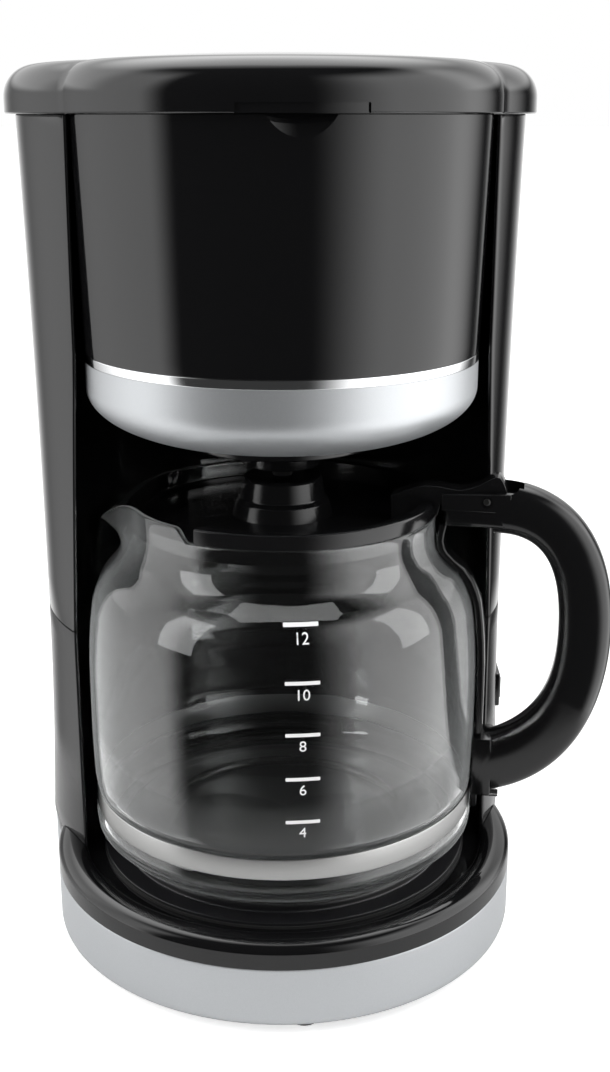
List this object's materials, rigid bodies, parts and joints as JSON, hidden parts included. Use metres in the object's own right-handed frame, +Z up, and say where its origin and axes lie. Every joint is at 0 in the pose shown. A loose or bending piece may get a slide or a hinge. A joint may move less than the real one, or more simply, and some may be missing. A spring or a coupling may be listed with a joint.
{
  "type": "drip coffee maker",
  "caption": "Drip coffee maker: round silver base with hot plate, black rear water column, filter drum over a silver bowl, domed hinged lid and a glass carafe with handle.",
  "frame": {"origin": "on the floor, at the middle of the machine's overall width and depth", "axes": "+Z up, -Y to the front where the carafe slides out, +X to the right, the side of the carafe handle"},
  "size_m": [0.2284, 0.2124, 0.3418],
  "materials": {
    "gloss_black": "high gloss moulded",
    "satin_black": "satin moulded",
    "silver_plastic": "satin metallic silver",
    "chrome_trim": "bright plated",
    "steel": "satin",
    "heater_aluminium": "extruded",
    "plate_coating": "non-stick coating",
    "soft_rubber": "matt",
    "silicone": "translucent matt",
    "natural_plastic": "natural",
    "clear_glass": "clear polished"
  },
  "bodies": {
    "housing": {"rubber_feet": "soft_rubber", "bottom_cover": "satin_black", "cover_screws": "steel", "base_skirt": "silver_plastic", "base_deck": "gloss_black", "plate_seal": "silicone", "hot_plate": "plate_coating", "heater_tube": "heater_aluminium", "heater_clamp": "steel", "clamp_screws": "steel", "thermostat": "steel", "thermal_fuses": "natural_plastic", "lower_column": "satin_black", "upper_housing": "gloss_black", "water_tank": "natural_plastic", "check_valve": "natural_plastic", "inlet_hose": "silicone", "outlet_hose": "silicone", "riser_pipe": "natural_plastic", "switch_bezel": "satin_black", "switch_body": "satin_black", "drum_shell": "gloss_black", "chrome_band": "chrome_trim", "silver_bowl": "silver_plastic", "outlet_ring": "satin_black", "lid_hinge_pin": "steel"},
    "lid": {"brew_lid": "gloss_black", "lid_shower": "satin_black"},
    "basket": {"filter_basket": "satin_black"},
    "drip_stop": {"drip_stem": "natural_plastic", "drip_seal": "silicone", "drip_spring": "steel"},
    "carafe": {"carafe_glass": "clear_glass", "steel_band": "steel", "handle_spine": "satin_black", "carafe_handle": "satin_black", "band_screw": "steel", "carafe_hinge_pin": "steel"},
    "carafe_cover": {"carafe_lid": "satin_black"},
    "switch_rocker": {"rocker": "satin_black"},
    "valve_ball": {"check_ball": "steel"}
  },
  "joints": [
    {"name": "lid_hinge", "type": "hinge", "parent": "housing", "child": "lid", "pos_m": [-0.01228, 0.1022, 0.317], "axis": [-1, 0, 0], "range_deg": [0, 85]},
    {"name": "basket_lift", "type": "slide", "parent": "housing", "child": "basket", "axis": [0, 0, 1], "range_m": [0, 0.004]},
    {"name": "drip_stop_travel", "type": "slide", "parent": "basket", "child": "drip_stop", "axis": [0, 0, 1], "range_m": [0, 0.003], "stiffness_N_per_m": 200, "springref_m": -0.002, "deforming": ["drip_spring"]},
    {"name": "carafe_pull", "type": "slide", "parent": "housing", "child": "carafe", "axis": [0, -1, 0], "range_m": [0, 0.19]},
    {"name": "carafe_cover_hinge", "type": "hinge", "parent": "carafe", "child": "carafe_cover", "pos_m": [0.06366, -0.03458, 0.1782], "axis": [0.2756, 0.9613, 0], "range_deg": [0, 2.5]},
    {"name": "switch_rock", "type": "hinge", "parent": "housing", "child": "switch_rocker", "pos_m": [0.07934, 0.01695, 0.084], "axis": [0, 0, -1], "range_deg": [0, 10]},
    {"name": "valve_ball_lift", "type": "slide", "parent": "housing", "child": "valve_ball", "axis": [0, 0, 1], "range_m": [0, 0.002]}
  ]
}
